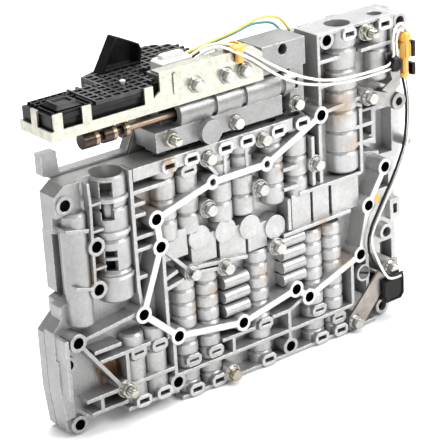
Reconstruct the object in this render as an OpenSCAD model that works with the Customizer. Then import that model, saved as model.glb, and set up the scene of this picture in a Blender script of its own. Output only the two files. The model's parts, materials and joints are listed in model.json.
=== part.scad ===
// Valve body of an automatic transmission, standing on its lower edge.
// X runs along the long face, Y into the depth behind the machined rail, Z up.

/* [Castings] */
// Depth of the front casting, from the rail face to the joint face
front_t = 27; // [26:0.5:30]
// Depth of the rear casting
rear_t = 32; // [28:1:38]
// Thickness of the floor between the ribs of the front casting
web_t = 12; // [9:0.5:14]
// Thickness of the flange around the rear casting
rear_flange_t = 8; // [7:0.5:11]
// Width of the machined rail on the front face
rail_w = 5; // [4:0.5:6]
// Radius of the bolt bosses
boss_r = 6.5; // [6:0.25:7]
// Diameter of the holes for the case bolts
case_hole_d = 8; // [6.6:0.1:8.5]
// Width of the cast ribs
rib_w = 2.6; // [2:0.2:3.4]
// Step from the rail face down to the ribs
rib_drop = 2; // [1:0.25:3]
// Thickness of the steel separator plate
plate_t = 1.5; // [1:0.1:2]
// Thickness of each gasket
gasket_t = 0.5; // [0.3:0.1:1]

/* [Spool bores] */
// Diameter of the spool bores
bore_d = 11; // [10:0.25:12]
// Diameter of the two large bores
big_bore_d = 19; // [17:0.5:20]
// Wall of the cast barrel around a bore
barrel_wall = 3.6; // [3:0.2:4]
// Depth of the bore axes behind the rail face
bore_y = 12; // [11.5:0.25:12.5]
// Depth of the large bores' axes behind the rail face
big_bore_y = 14; // [13.5:0.25:14]
// Radial room between a spool, piston or plug and its bore
spool_gap = 0.3; // [0.25:0.05:0.4]
// Room at the ends of spools, springs and clips
end_gap = 0.2; // [0.1:0.05:0.4]
// Length of a bore plug
plug_l = 8; // [6:0.5:10]
// Wire diameter of the springs
spring_wire = 1.2; // [0.9:0.1:1.4]
// Width of a slot for a retainer clip
slot_w = 8; // [7:0.25:9]
// Height of a slot for a retainer clip
slot_h = 3.4; // [3:0.1:4]
// Height of the narrow slots beside the clips
narrow_slot_h = 2; // [1.6:0.1:2.6]

/* [Fasteners] */
// Shank diameter of the flange bolts
bolt_d = 6; // [5:0.25:6.25]
// Width across the flats of the bolt heads
bolt_af = 8; // [7:0.5:9]
// Width across the flats of the stud nuts
nut_af = 10; // [9:0.5:10.5]
// Diameter of the bolt flanges
flange_d = 12; // [11:0.2:13]
// Thickness of the bolt flanges at the rim
flange_t = 1.6; // [1.2:0.1:2.4]
// Height of a bolt head with its flange
head_h = 6; // [5:0.5:7]
// Radial room of a shank in its hole
bolt_gap = 0.2; // [0.1:0.05:0.3]
// Length of a stud's thread in front of its nut
stud_free = 6; // [4:0.5:7]

/* [Manual valve] */
// Diameter of the manual valve
manual_d = 11; // [9.5:0.25:11.5]
// Wall of the cast barrel around the manual valve
manual_wall = 5.5; // [4.5:0.25:6]
// Travel of the manual valve from park to drive
manual_travel = 24; // [18:1:26]

/* [Control module] */
// Height of the plastic module housing
module_h = 14; // [11:0.5:15]
// Height of the ribs on top of the module
lattice_h = 2.4; // [1.5:0.1:3.5]
// Width of the ribs on top of the module
lattice_w = 1.6; // [1.2:0.1:2.2]
// Thickness of the sheet steel brackets
sheet_t = 1.6; // [1.2:0.1:2]

/* [Wires] */
// Diameter of the sensor and harness wires
wire_d = 2; // [1.6:0.1:2.2]

/* [Hidden] */
$fn = 48;
// Middle of the whole part in X and Y, which becomes the origin
middle = [31.5, 33.5];
// Overlap of cuts and of stacked cast features
past = 1;
// Depths of the stacked layers
seam_y = front_t;
web_y = front_t - web_t;
plate_y = seam_y + gasket_t;
rear_gasket_y = plate_y + plate_t;
rear_y = rear_gasket_y + gasket_t;
back_y = rear_y + rear_t;
rear_web_y = rear_y + rear_flange_t;
case_r = case_hole_d / 2;
bolt_hole_r = bolt_d / 2 + bolt_gap;
bore_r = bore_d / 2;
barrel_r = bore_r + barrel_wall;
big_bore_r = big_bore_d / 2;
big_barrel_r = big_bore_r + barrel_wall;
mouth_r = big_bore_r + barrel_wall / 2;
spool_r = bore_r - spool_gap;
seat_pad_r = flange_d / 2 + 0.5;

// Outline of the front casting in the X-Z plane
front_top = 184;
tower_top = 239;
corner_web = 6;
front_outline = [
    [-38, 0], [146, 0], [146, 16], [141, 24], [141, 58], [150, 94], [166, 120], [164, 131],
    [149, 134], [149, 172], [170, 184], [170, tower_top], [97, tower_top], [97, front_top + corner_web],
    [97 - corner_web, front_top], [-116, front_top],
    [-124, 178], [-124, 151], [-113, 148], [-113, 100], [-124, 97], [-124, 88], [-131, 80], [-131, 34],
    [-127, 4], [-121, 0], [-113, 1], [-110, 16], [-92, 16], [-84, 8], [-44, 8]];

// Outline of the rear casting, the plate and the gaskets behind the front casting
rear_top = 218;
rear_outline = [
    [-38, 0], [176, 0], [188, 14], [188, 112], [194, 122], [194, 210], [190, 234], [184, 236], [34, 236],
    [30, rear_top], [-36, rear_top], [-52, 186], [-106, 186], [-107, 201], [-119, 201], [-119, 186],
    [-109, 182], [-109, 100], [-119, 97], [-119, 86], [-130, 76], [-130, 34], [-127, 4], [-121, 0],
    [-113, 1], [-110, 16], [-92, 16], [-84, 8], [-44, 8]];
// Deep middle of the rear casting behind that flange, which the part also stands on
deep_l = -78;
deep_r = 176;
deep_outline = [
    [deep_l, 28], [-34, 28], [-34, 0], [160, 0], [deep_r, 16], [deep_r, 200], [166, 222], [42, 222],
    [42, 204], [-24, 204], [-24, 172], [deep_l, 172]];

// Machined rail: its corner points, of which most carry a bolt boss
rail = [
    [157, 124], [140, 98], [131, 61], [80, 43], [68, 53], [18, 43], [-39, 52], [-67, 78],
    [-49, 123], [-51, 144], [-2, 157], [46, 157], [75, 170], [97, 180]];
rail_bosses = [for (i = [0 : 9]) rail[i], rail[13]];
tapped_bosses = [rail[10], rail[11]];
tapped_r = 2.6;
// Case bolt bosses away from the rail
column_bosses = [[-99, 138], [-100, 107], [-120, 74], [106, 233], [-41, 16], [62, 8]];
// Case bolt bosses of the left end, which lie deeper than the rail: place, then the depth of the face
low_bosses = [[[-117, 171], 8], [[-124, 55], 11], [[-119, 8], 11]];
case_holes = concat(rail_bosses, column_bosses, [for (b = low_bosses) b[0]]);
// Plain blind holes in the floor
small_holes = [[-98, 71], [-61, 141]];
small_hole_r = 3;

// Ribs of the front face, each from one point to another
ribs = [
    [[-114, 17], [-84, 17]], [[-117, 28], [-42, 28]], [[-40, 21], [124, 21]], [[-38, 2], [146, 2]],
    [[-84, 10], [-44, 10]], [[-120, 74], [-86, 27]], [[-120, 74], [-67, 80]], [[-108, 62], [-86, 62]],
    [[-104, 54], [-62, 54]], [[-105, 27], [-105, 17]], [[-82, 54], [-82, 28]], [[-42, 52], [-42, 8]],
    [[-46, 52], [-46, 116]], [[-49, 123], [-24, 96]], [[-45, 97], [-35, 100]], [[-46, 89], [-30, 92]],
    [[-22, 98], [26, 92]], [[66, 124], [66, 100]],
    [[0, 34], [30, 34]], [[10, 34], [10, 21]], [[46, 37], [62, 37]], [[62, 37], [62, 8]],
    [[62, 37], [76, 43]], [[124, 21], [124, 58]], [[60, 97], [124, 98]], [[-20, 94], [4, 90]],
    [[76, 125], [136, 125]], [[136, 125], [136, 175]], [[124, 148], [148, 148]],
    [[124, 161], [148, 161]], [[-68, 96], [-68, 184]], [[-68, 167], [-40, 167]], [[-68, 158], [-58, 158]],
    [[-68, 150], [-58, 150]], [[-68, 134], [-52, 134]], [[-68, 125], [-52, 125]], [[-68, 105], [-60, 105]],
    [[-68, 98], [-66, 80]], [[11, 158], [11, 178]], [[30, 158], [30, 178]], [[-10, 178], [4, 160]],
    [[98, 180], [98, 239]], [[97, 218], [118, 218]], [[97, 200], [118, 200]], [[138, 218], [168, 218]],
    [[168, 184], [168, 238]], [[97, 180], [142, 183]], [[90, 165], [90, 128]], [[62, 147], [75, 147]],
    [[62, 132], [75, 132]], [[97, 238], [170, 238]], [[97, 172], [97, 128]], [[-122, 155], [-104, 151]],
    [[-129, 78], [-129, 34]], [[139, 24], [139, 58]]];
// Flat cells across the middle of the face, parted by narrow channels: left, right, bottom, top
cells = [[-44, -23, 108, 128], [-20, 1.5, 98, 118], [4.5, 27.5, 93, 116], [30, 47, 93, 112],
    [50, 64, 97, 108], [71, 88.5, 98, 124], [91, 106, 98, 124], [109, 135, 98, 124]];
cell_y = 5.5;
// Cast ridges that lie across the floor between the barrels: left, right, height
ridges = [[6, 28, 53], [6, 28, 64], [6, 28, 75], [60, 81, 60], [60, 81, 70], [60, 81, 80], [60, 81, 90]];
ridge_r = 4.7;
ridge_y = 8;
ridge_foot = 8.4;
// Blocks of the left end: left, right, bottom, top, then the depth of the face
low_blocks = [[[-124, -104, 163, 184], 9.5], [[-131, -121, 14, 60], 12.5]];
// Round faces over the ball pockets
ball_seats = [[-13.5, 118], [9.5, 116], [31, 112.5], [54, 105.5]];
ball_seat_r = 9;
ball_seat_y = 4;
ball_r = 2.8;
ball_pocket_r = 3.3;
ball_pocket_l = 6.5;
// Rim along the top edge of the front casting
rim_l = -66;
rim_r = 72;
rim_h = 9;

// Bores that open at the lower edge, at the upper edge, or have a plug alone
lower_bores = [-26, -6, 40, 91, 110];
upper_bores = [-37, 11, 58];
lower_plain = [-72, -54];
upper_plain = [-18, 30, 80];
lower_end = 84;
upper_end = 130;
lower_face = 0;
lower_step = 8;
plain_bore_l = 22;
slot_in = 5.5;
slot_pad = [13, 9];
pad_cut = 2.4;
second_slots = [[-72, 50], [-54, 50], [-26, 28], [-6, 28], [40, 34], [91, 28], [110, 15], [-20, 170]];
second_slot_depth = 5;
// Large bores: the accumulator at the left and the tower at the right
accumulator_x = -80;
accumulator_end = 96;
tower_bore = [126, 206];
tower_foot = 128;
side_bore = [160, 206];
side_foot = 190;
mouth_l = 12;
windows = [[153, 165], [126, 131], [116, 124], [169, 180]];
window_w = 7;
column_x = -110;
groove_in = 1.5;
ring_edge = 1.7;

// Face bolts, rim bolts with their seats, and studs
face_bolts = [[-6, 138], [40, 140], [92, 144], [-23, 95], [6, 90], [53, 91]];
rim_bolt_points = [[-4, 175], [44.5, 176]];
long_bolt = [5, 7.5];
long_bolt_stand = 3;
face_studs = [[-85, 27], [143, 231]];
manual_stud = [-34, 197];
manual_bolts = [[22, 194], [76, 194]];
arm_bolt = [143, 182];
lower_arm_bolt = [124, 7.5];
slotted_at = [135.5, 44];
slotted_r = 5;
slotted_l = 9;
slotted_cut = 1.6;
stud_nut_h = 5;
thread_l = 9;

// Manual valve: its axis, bore and the pieces along it
manual_y = 12;
manual_z = 209.5;
manual_mouth = -24;
manual_bore_end = 72;
manual_r = manual_d / 2;
manual_barrel_r = manual_r + manual_wall;
manual_rod_r = 2.5;
manual_tip = -98;
manual_ledge_top = manual_z - manual_r - 1;

// Solid between two depths, from an outline drawn in the X-Z plane
module layer(y_front, y_back) {
    translate([0, y_back, 0]) rotate([90, 0, 0]) linear_extrude(y_back - y_front) children();
}

// Straight bar between two points of an outline
module bar(p, q, w) {
    run = q - p;
    translate(p) rotate(atan2(run[1], run[0])) translate([0, -w / 2]) square([norm(run), w]);
}

// Rectangle of an outline given by its left, right, bottom and top
module block2(b) {
    translate([b[0], b[2]]) square([b[1] - b[0], b[3] - b[2]]);
}

// Rectangle of an outline around its middle, and the same with its corners cut
module pad2(p, size) {
    translate(p) square(size, center = true);
}

module cut_pad2(p, size, cut) {
    w = size[0] / 2;
    h = size[1] / 2;
    translate(p) polygon([
        [cut - w, -h], [w - cut, -h], [w, cut - h], [w, h - cut], [w - cut, h], [cut - w, h], [-w, h - cut],
        [-w, cut - h]]);
}

// Cylinder along Y at a point of the X-Z plane
module along_y(p, r, y0, y1) {
    translate([p[0], y0, p[1]]) rotate([-90, 0, 0]) cylinder(r = r, h = y1 - y0);
}

// Cylinder along Z at a depth
module along_z(x, y, r, z0, z1) {
    translate([x, y, z0]) cylinder(r = r, h = z1 - z0);
}

// Cylinder along X at a depth and height
module along_x(y, z, r, x0, x1) {
    translate([x0, y, z]) rotate([0, 90, 0]) cylinder(r = r, h = x1 - x0);
}

// Cylinder along X on the axis of the manual valve
module on_manual_axis(r, x0, x1) {
    along_x(manual_y, manual_z, r, x0, x1);
}

// Box between two corners
module box(low, high) {
    translate(low) cube(high - low);
}

// Cast barrel around a bore, ringed by grooves
module barrel(x, y, r, z0, z1, rings) {
    pitch = (z1 - z0) / rings;
    side = [for (i = [0 : rings - 1]) let (z = z0 + i * pitch) each [
        [r - groove_in, z], [r, z + ring_edge], [r, z + pitch - ring_edge]]];
    translate([x, y, 0]) rotate_extrude() polygon(concat([[0, z0]], side, [[r - groove_in, z1], [0, z1]]));
}

// Slot for a retainer clip, from the face into the bore
module clip_slot(p, height, depth) {
    box([p[0] - slot_w / 2, -past, p[1] - height / 2], [p[0] + slot_w / 2, depth, p[1] + height / 2]);
}

lower_slots = concat(
    [for (x = lower_bores) [x, lower_face + slot_in]], [for (x = lower_plain) [x, lower_step + slot_in]]);
upper_slots = [for (x = concat(upper_bores, upper_plain)) [x, front_top - slot_in]];
tower_slots = [for (b = [tower_bore, side_bore]) [b[0], tower_top - slot_in]];
clip_slots = concat(lower_slots, upper_slots, tower_slots);

module front_rail() {
    for (i = [0 : len(rail) - 2]) bar(rail[i], rail[i + 1], rail_w);
    for (p = rail_bosses) translate(p) circle(boss_r);
    for (p = tapped_bosses) translate(p) circle(boss_r - 1);
    for (p = clip_slots) cut_pad2(p, slot_pad, pad_cut);
}

module front_ribs() {
    for (r = ribs) bar(r[0], r[1], rib_w);
    for (p = column_bosses) translate(p) circle(boss_r);
    for (p = concat(face_bolts, rim_bolt_points, face_studs, [arm_bolt, lower_arm_bolt])) {
        translate(p) circle(seat_pad_r);
    }
    for (p = second_slots) cut_pad2(p, slot_pad, pad_cut);
    translate(slotted_at) circle(slotted_r + barrel_wall / 2);
    block2([rim_l, rim_r, front_top - rim_h, front_top]);
}

// Barrels, which reach a little past the closed ends of their bores
barrel_past = 8;
plain_barrel_top = 64;
column_ends = [82, 164];

module front_barrels() {
    for (x = lower_bores) barrel(x, bore_y, barrel_r, lower_face + past, lower_end + barrel_past, 9);
    for (x = lower_plain) barrel(x, bore_y, barrel_r, lower_step + past, plain_barrel_top, 3);
    for (x = concat(upper_bores, upper_plain)) {
        barrel(x, bore_y, barrel_r, upper_end - barrel_past, front_top - past, 4);
    }
    barrel(accumulator_x, big_bore_y, big_barrel_r, accumulator_end - barrel_past / 2, front_top - past, 4);
    barrel(tower_bore[0], big_bore_y, big_barrel_r, tower_foot, tower_top - past, 7);
    barrel(side_bore[0], bore_y, barrel_r, side_foot, tower_top - past, 2);
    barrel(column_x, bore_y, barrel_r, column_ends[0], column_ends[1], 1);
    for (r = ridges) {
        along_x(ridge_y, r[2], ridge_r, r[0], r[1]);
        box([r[0], ridge_y, r[2] - ridge_foot / 2], [r[1], web_y + past, r[2] + ridge_foot / 2]);
    }
}

module front_bores() {
    for (x = lower_bores) along_z(x, bore_y, bore_r, lower_face - past, lower_end);
    for (x = lower_plain) along_z(x, bore_y, bore_r, lower_step - past, lower_step + plain_bore_l);
    for (x = upper_bores) along_z(x, bore_y, bore_r, upper_end, front_top + past);
    for (x = upper_plain) along_z(x, bore_y, bore_r, front_top - plain_bore_l, front_top + past);
    along_z(accumulator_x, big_bore_y, big_bore_r, accumulator_end, front_top + past);
    along_z(accumulator_x, big_bore_y, mouth_r, front_top - mouth_l, front_top + past);
    along_z(tower_bore[0], big_bore_y, big_bore_r, tower_bore[1], tower_top + past);
    along_z(side_bore[0], bore_y, bore_r, side_bore[1], tower_top + past);
}

module front_body() {
    color("silver")
    difference() {
        union() {
            layer(web_y, seam_y) polygon(front_outline);
            layer(rib_drop, web_y + past) intersection() {
                polygon(front_outline);
                front_ribs();
            }
            layer(cell_y, web_y + past) for (b = cells) block2(b);
            layer(ball_seat_y, web_y + past) for (p = ball_seats) translate(p) circle(ball_seat_r);
            for (b = low_blocks) layer(b[1], web_y + past) intersection() {
                polygon(front_outline);
                block2(b[0]);
            }
            for (b = low_bosses) layer(b[1], web_y + past) intersection() {
                polygon(front_outline);
                translate(b[0]) circle(boss_r);
            }
            layer(0, web_y + past) intersection() {
                polygon(front_outline);
                front_rail();
            }
            along_y(long_bolt, seat_pad_r, rib_drop - long_bolt_stand, web_y + past);
            front_barrels();
        }
        for (p = case_holes) along_y(p, case_r, -past, seam_y + past);
        for (p = tapped_bosses) along_y(p, tapped_r, -past, web_y);
        for (p = concat(face_bolts, rim_bolt_points, face_studs, [long_bolt, arm_bolt, lower_arm_bolt])) {
            along_y(p, bolt_hole_r, -past, seam_y + past);
        }
        front_bores();
        for (p = clip_slots) clip_slot(p, slot_h, bore_y + bore_r);
        for (p = second_slots) clip_slot(p, narrow_slot_h, second_slot_depth);
        for (w = windows) {
            box([accumulator_x - big_bore_r - past, -past, w[0]],
                [accumulator_x - big_bore_r - past + window_w, big_bore_y, w[1]]);
        }
        for (p = ball_seats) along_y(p, ball_pocket_r, seam_y - ball_pocket_l, seam_y + past);
        for (p = small_holes) along_y(p, small_hole_r, web_y - past, web_y + small_hole_r * 2);
        along_y(slotted_at, slotted_r + bolt_gap, -past, slotted_l + rib_drop);
        layer(seam_y, seam_y + big_barrel_r) polygon(front_outline);
    }
}

joint_bolts = concat(
    face_bolts, rim_bolt_points, face_studs, manual_bolts,
    [long_bolt, arm_bolt, lower_arm_bolt, manual_stud]);
// Seat of the manual valve body on the rear casting
manual_seat = [[-52, 183], [98, 183], [98, 236], [34, 236], [30, rear_top], [-36, rear_top]];

// Thin layer of the joint with all its bolt holes
module joint_layer(y0, y1) {
    difference() {
        layer(y0, y1) intersection() {
            polygon(rear_outline);
            children();
        }
        for (p = case_holes) along_y(p, case_r, y0 - past, y1 + past);
        for (p = joint_bolts) along_y(p, bolt_hole_r, y0 - past, y1 + past);
    }
}

module front_gasket() {
    color("dimgray") joint_layer(seam_y, plate_y) polygon(front_outline);
}

module separator_plate() {
    color("gray") joint_layer(plate_y, rear_gasket_y) union() {
        polygon(front_outline);
        polygon(manual_seat);
    }
}

module rear_gasket() {
    color("dimgray") joint_layer(rear_gasket_y, rear_y) union() {
        polygon(front_outline);
        polygon(manual_seat);
    }
}

// Ribs, rim and solenoid bay on the hidden side of the rear casting
rear_rib_x = [-60 : 30 : 150];
rear_rib_z = [60, 150, 190];
rear_rim_w = 8;
solenoid_bay = [57, 124, 61, 112];
nose_bar = [57, 130, 110, 126];
solenoid_screws = [[51, 77], [132, 77]];
screw_l = 7;
// Depth of the solenoids' retaining plate below the case face, which leaves room for the screw heads
solenoid_sink = sheet_t + head_h + 1;
bracket_seat_y = back_y - solenoid_sink;
// Raised field beside the front casting, with its bosses and pockets
field_y = 22;
right_field = [
    [151, 3], [174, 3], [186, 16], [186, 112], [192, 123], [192, 164], [153, 164], [153, 138], [168, 134],
    [171, 119], [155, 92], [146, 56], [146, 26], [151, 18]];
field_pockets = [[168, 184, 124, 160], [152, 164, 142, 162], [170, 182, 34, 52], [162, 180, 96, 114]];
field_pocket_d = 4;
// Bosses that stand on the rear casting at the right end: place, then the depth of their faces
right_bosses = [[[172, 62], 16], [[157, 8], 6], [[181.5, 229], 8]];
right_post = [189.5, 133];
post_r = 4;
post_hole_r = 2;
post_y = 10;
arm_post = [161, 41];
right_pad = [176, 186, 71, 87];
pad_hole = [179, 183, 75, 83];
// Thick pad on the left side
left_pad = [-116, -108, 99, 147];
left_pad_past = 4.5;

module rear_ribs() {
    count = len(deep_outline);
    for (i = [0 : count - 1]) {
        p = deep_outline[i];
        q = deep_outline[(i + 1) % count];
        lap = (q - p) / norm(q - p);
        bar(p - lap, q + lap, rear_rim_w);
    }
    difference() {
        union() {
            for (x = rear_rib_x) bar([x, 0], [x, tower_top], rib_w);
            for (z = rear_rib_z) bar([deep_l, z], [deep_r, z], rib_w);
        }
        block2(solenoid_bay);
    }
    for (p = concat(case_holes, joint_bolts)) translate(p) circle(boss_r);
    block2(nose_bar);
}

module rear_body() {
    color("silver")
    difference() {
        union() {
            layer(rear_y, rear_web_y) polygon(rear_outline);
            layer(rear_web_y - past, back_y) intersection() {
                polygon(deep_outline);
                rear_ribs();
            }
            layer(rear_web_y - past, bracket_seat_y) for (p = solenoid_screws) translate(p) circle(boss_r);
            layer(rear_web_y - past, rear_y + thread_l + past * 2) intersection() {
                polygon(rear_outline);
                for (p = joint_bolts) translate(p) circle(boss_r);
            }
            layer(rear_y + past, rear_web_y + left_pad_past) cut_pad2(
                [left_pad[0] + left_pad[1], left_pad[2] + left_pad[3]] / 2,
                [left_pad[1] - left_pad[0], left_pad[3] - left_pad[2]], pad_cut);
            layer(field_y, rear_y + past) polygon(right_field);
            for (b = right_bosses) along_y(b[0], boss_r, b[1], rear_y + past);
            along_y(right_post, post_r, post_y, rear_y + past);
            along_y(arm_post, seat_pad_r, rib_drop, rear_y + past);
            layer(right_bosses[0][1], rear_y) block2(right_pad);
        }
        for (p = case_holes) along_y(p, case_r, rear_y - past, back_y + past);
        for (p = joint_bolts) along_y(p, bolt_hole_r, rear_y - past, rear_y + thread_l + past);
        for (p = solenoid_screws) along_y(p, bolt_hole_r, bracket_seat_y - screw_l - past, back_y + past);
        for (x = solenoid_x) {
            along_z(x, solenoid_y, solenoid_r + end_gap, solenoid_bay[2], solenoid_bay[3]);
            along_z(x, solenoid_y, nose_r + spool_gap, nose_bar[2] - past, nose_bar[3] - end_gap);
        }
        for (b = field_pockets) layer(right_bosses[0][1] - past, rear_y + field_pocket_d) block2(b);
        for (b = right_bosses) along_y(b[0], case_r, b[1] - past, rear_y);
        along_y(right_post, post_hole_r, post_y - past, rear_y);
        along_y(arm_post, bolt_hole_r, rib_drop - past, rib_drop + arm_screw_l);
        layer(right_bosses[0][1] - past, rear_y) block2(pad_hole);
    }
}

// Manual valve body: the small casting above the front casting
manual_foot = 187;
manual_right = 84;
manual_top = 242;
flange_z = 223;
flange_top = 238;
manual_front = 3;
manual_back_wall = 15;
manual_outline = [
    [-45, 190], [-38, manual_foot], [manual_right, manual_foot], [manual_right, manual_top], [46, manual_top],
    [46, flange_top], [-32, flange_top], [-32, manual_ledge_top], [-45, manual_ledge_top]];
manual_grooves = [2, 28, 62];
groove_w = 5;
groove_d = 2;
round_boss = [-3, 195];
round_boss_r = 8.5;
round_boss_y = -4;
ledge = [-45, 64, 189, manual_ledge_top];
right_block = [46, manual_right, 222, manual_top];
right_web = [72, manual_right, 188, 222];
bracket_seat = [-32, 46, flange_z, flange_top];
barrel_end = manual_bore_end + 6;
gauge_hole = [64, 237];
side_slot = [75, 79, 205, 213];

module manual_valve_body() {
    color("lightgray")
    difference() {
        union() {
            layer(manual_back_wall, plate_y) polygon(manual_outline);
            layer(manual_front, manual_back_wall + past) {
                block2(ledge);
                for (p = concat(manual_bolts, [manual_stud])) translate(p) circle(seat_pad_r - 1);
                block2(right_web);
            }
            layer(0, manual_back_wall + past) {
                block2(bracket_seat);
                block2(right_block);
            }
            along_y(round_boss, round_boss_r, round_boss_y, manual_back_wall);
            difference() {
                on_manual_axis(manual_barrel_r, manual_mouth, barrel_end);
                for (x = manual_grooves) difference() {
                    on_manual_axis(manual_barrel_r + past, x, x + groove_w);
                    on_manual_axis(manual_barrel_r - groove_d, x - past, x + groove_w + past);
                }
            }
        }
        on_manual_axis(manual_r + spool_gap, manual_outline[0][0] - past, manual_bore_end);
        for (p = concat(manual_bolts, [manual_stud])) along_y(p, bolt_hole_r, -past, plate_y + past);
        for (p = bracket_bolt_points) along_y(p, bolt_hole_r, -past, thread_l + past);
        along_y(gauge_hole, case_r, -past, manual_back_wall);
        layer(-past, manual_front + slot_h) block2(side_slot);
    }
}

// Manual valve: a rod with guide collars outside and lands inside its bore
manual_collars = [[0, 12], [16, 26], [31, 36]];
manual_neck_r = 3.1;
manual_lands = [-14, 10, 34];
manual_land_l = 10;

module manual_valve() {
    collars_end = manual_tip + manual_collars[len(manual_collars) - 1][1];
    color("rosybrown") {
        for (c = manual_collars) on_manual_axis(manual_r, manual_tip + c[0], manual_tip + c[1]);
        on_manual_axis(manual_neck_r, manual_tip + past, collars_end - past);
        on_manual_axis(manual_rod_r, collars_end - past, manual_bore_end - manual_travel - past);
        for (x = manual_lands) on_manual_axis(manual_r, x, x + manual_land_l);
    }
}

// Spool from its seated end: lands joined by a thinner stem
module spool(length, lands) {
    pitch = (length - spool_land) / (lands - 1);
    union() {
        cylinder(r = spool_stem_r, h = length);
        for (i = [0 : lands - 1]) translate([0, 0, i * pitch]) cylinder(r = spool_r, h = spool_land);
    }
}

spool_land = 8;
spool_stem_r = 2.9;
lower_spool_l = 38;
upper_spool_l = 24;
lower_spool_z = lower_end - end_gap - lower_spool_l;
upper_spool_z = upper_end + end_gap;
lower_plug_z = lower_face + slot_in + slot_h / 2 + end_gap;
upper_plug_z = front_top - slot_in - slot_h / 2 - end_gap - plug_l;

module lower_spool(i) {
    color("lightsteelblue") translate([lower_bores[i], bore_y, lower_spool_z]) spool(lower_spool_l, 3);
}

module upper_spool(i) {
    color("lightsteelblue") translate([upper_bores[i], bore_y, upper_spool_z]) spool(upper_spool_l, 2);
}

// Coil spring as a swept wire between two heights
spring_r = 3.3;
spring_sides = 6;
spring_steps = 10;
function coil_point(r, z0, z1, turns, i) =
    let (a = 360 * i / spring_steps)
    [r * cos(a), r * sin(a), z0 + (z1 - z0) * i / (turns * spring_steps)];
function ring_points(c, side, up, r, sides) =
    [for (k = [0 : sides - 1]) c + r * (cos(360 * k / sides) * side + sin(360 * k / sides) * up)];
function unit(v) = v / norm(v);
function tube_faces(rings, sides) = concat(
    [[for (k = [sides - 1 : -1 : 0]) k]],
    [for (i = [0 : rings - 2], k = [0 : sides - 1])
        [i * sides + k, i * sides + (k + 1) % sides, (i + 1) * sides + (k + 1) % sides, (i + 1) * sides + k]],
    [[for (k = [0 : sides - 1]) (rings - 1) * sides + k]]);

module coil_spring(r, z0, z1, turns, wire) {
    low = z0 + end_gap + wire / 2;
    high = z1 - end_gap - wire / 2;
    steps = turns * spring_steps;
    rings = [for (i = [0 : steps])
        let (a = 360 * i / spring_steps, c = coil_point(r, low, high, turns, i))
        ring_points(c, [cos(a), sin(a), 0], [0, 0, 1], wire / 2, spring_sides)];
    polyhedron([for (ring = rings) each ring], tube_faces(steps + 1, spring_sides));
}

module lower_spring(i) {
    color("slategray") translate([lower_bores[i], bore_y, 0])
        coil_spring(spring_r, lower_plug_z + plug_l, lower_spool_z, 6, spring_wire);
}

module upper_spring(i) {
    color("slategray") translate([upper_bores[i], bore_y, 0])
        coil_spring(spring_r, upper_spool_z + upper_spool_l, upper_plug_z, 4, spring_wire);
}

// Accumulator: a piston under the open mouth, on a spring
piston_l = 22;
piston_below_mouth = 6;
piston_spring_r = 4.8;
piston_spring_wire = 1.6;
piston_z = front_top - mouth_l - piston_l - piston_below_mouth;
piston_wall = 3;
piston_r = big_bore_r - spool_gap;
piston_floor = piston_z + piston_l - piston_wall;

module accumulator_piston() {
    color("gray") difference() {
        along_z(accumulator_x, big_bore_y, piston_r, piston_z, piston_z + piston_l);
        along_z(accumulator_x, big_bore_y, piston_r - piston_wall, piston_z - past, piston_floor);
    }
}

module accumulator_spring() {
    color("slategray") translate([accumulator_x, big_bore_y, 0])
        coil_spring(piston_spring_r, accumulator_end, piston_floor, 7, piston_spring_wire);
}

module bore_plugs() {
    color("lightgray") {
        for (x = lower_bores) along_z(x, bore_y, spool_r, lower_plug_z, lower_plug_z + plug_l);
        for (x = lower_plain) {
            along_z(x, bore_y, spool_r, lower_step + lower_plug_z, lower_step + plain_bore_l - end_gap);
        }
        for (x = upper_bores) along_z(x, bore_y, spool_r, upper_plug_z, upper_plug_z + plug_l);
        for (x = upper_plain) {
            along_z(x, bore_y, spool_r, front_top - plain_bore_l + end_gap, upper_plug_z + plug_l);
        }
        along_z(tower_bore[0], big_bore_y, piston_r, tower_bore[1] + end_gap, tower_plug_z);
        along_z(side_bore[0], bore_y, spool_r, side_bore[1] + end_gap, tower_plug_z);
    }
}

tower_plug_z = tower_top - slot_in - slot_h / 2 - end_gap;

// Retainer clips: small plates in the slots, each set back from the face
clip_in = 6;
clip_gap = 0.3;

module retainer_clips() {
    color("darkgray") layer(clip_in, bore_y + bore_r - clip_gap) for (p = clip_slots) {
        pad2(p, [slot_w - clip_gap * 2, slot_h - end_gap * 2]);
    }
}

module check_balls() {
    color("gainsboro") for (p = ball_seats) {
        translate([p[0], seam_y - ball_r - end_gap, p[1]]) sphere(r = ball_r);
    }
}

module slotted_plug() {
    color("silver") difference() {
        along_y(slotted_at, slotted_r, rib_drop, rib_drop + slotted_l - end_gap);
        translate([slotted_at[0], rib_drop, slotted_at[1]]) rotate([0, 20, 0])
            cube([slotted_r * 3, slotted_cut * 2, slotted_cut], center = true);
    }
}

// Flange bolt seated at a depth, its shank running back from there
flange_taper = 0.8;
head_bevel = 0.8;

module hex_head(flats, height) {
    corner_r = flats / sqrt(3);
    intersection() {
        cylinder(r = corner_r, h = height, $fn = 6);
        union() {
            cylinder(r = corner_r + past, h = height - head_bevel);
            translate([0, 0, height - head_bevel])
                cylinder(r1 = corner_r, r2 = flats / 2 - bolt_gap, h = head_bevel);
        }
    }
}

module flange_bolt(p, seat, length) {
    translate([p[0], seat, p[1]]) rotate([90, 0, 0]) {
        cylinder(r1 = flange_d / 2, r2 = flange_d / 2 - flange_taper, h = flange_t);
        hex_head(bolt_af, head_h);
        translate([0, 0, -length]) cylinder(r = bolt_d / 2, h = length + past);
    }
}

module body_bolts() {
    color("lightyellow") for (p = face_bolts) flange_bolt(p, rib_drop, rear_y + thread_l - rib_drop);
}

module rim_bolts() {
    color("lightyellow") {
        for (p = rim_bolt_points) flange_bolt(p, rib_drop, rear_y + thread_l - rib_drop);
        flange_bolt(long_bolt, rib_drop - long_bolt_stand, rear_y + thread_l - rib_drop + long_bolt_stand);
    }
}

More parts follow.
